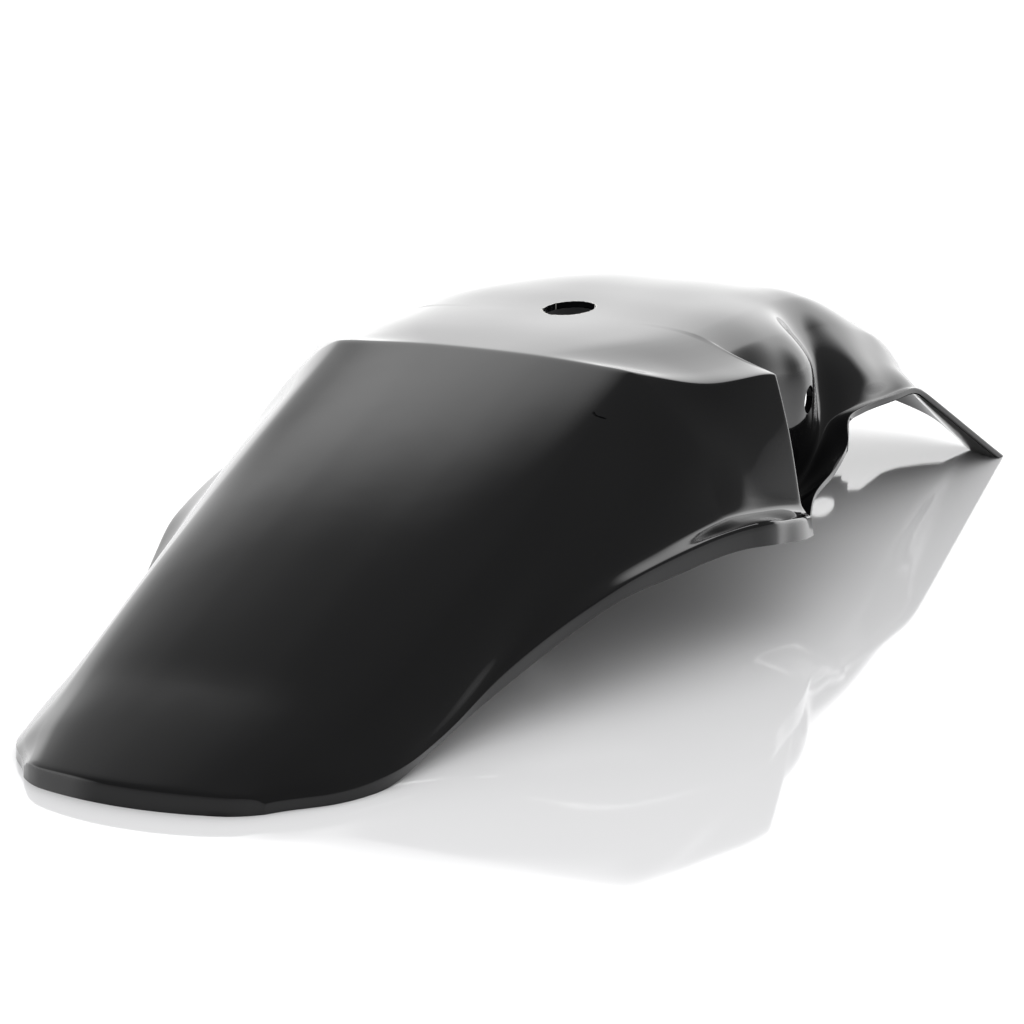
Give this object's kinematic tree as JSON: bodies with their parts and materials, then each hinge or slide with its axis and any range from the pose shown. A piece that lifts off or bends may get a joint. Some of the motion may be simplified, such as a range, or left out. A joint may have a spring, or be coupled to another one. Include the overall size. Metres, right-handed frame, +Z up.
{
  "type": "motorcycle rear fender",
  "caption": "Wide one-piece motorcycle rear fender: sloped tail panel, low dome, side wings with lipped ledges, waisted sides, drooping front panel and open underside.",
  "frame": {"origin": "floor level under the middle of the shell's bounding box", "axes": "+X towards the front of the fender, +Y to its left side, +Z up"},
  "size_m": [0.7176, 0.2684, 0.1231],
  "materials": {
    "gloss_black_shell": "smooth gloss black gel coat on a moulded shell"
  },
  "bodies": {
    "root": {"fender_shell": "gloss_black_shell"}
  },
  "joints": []
}
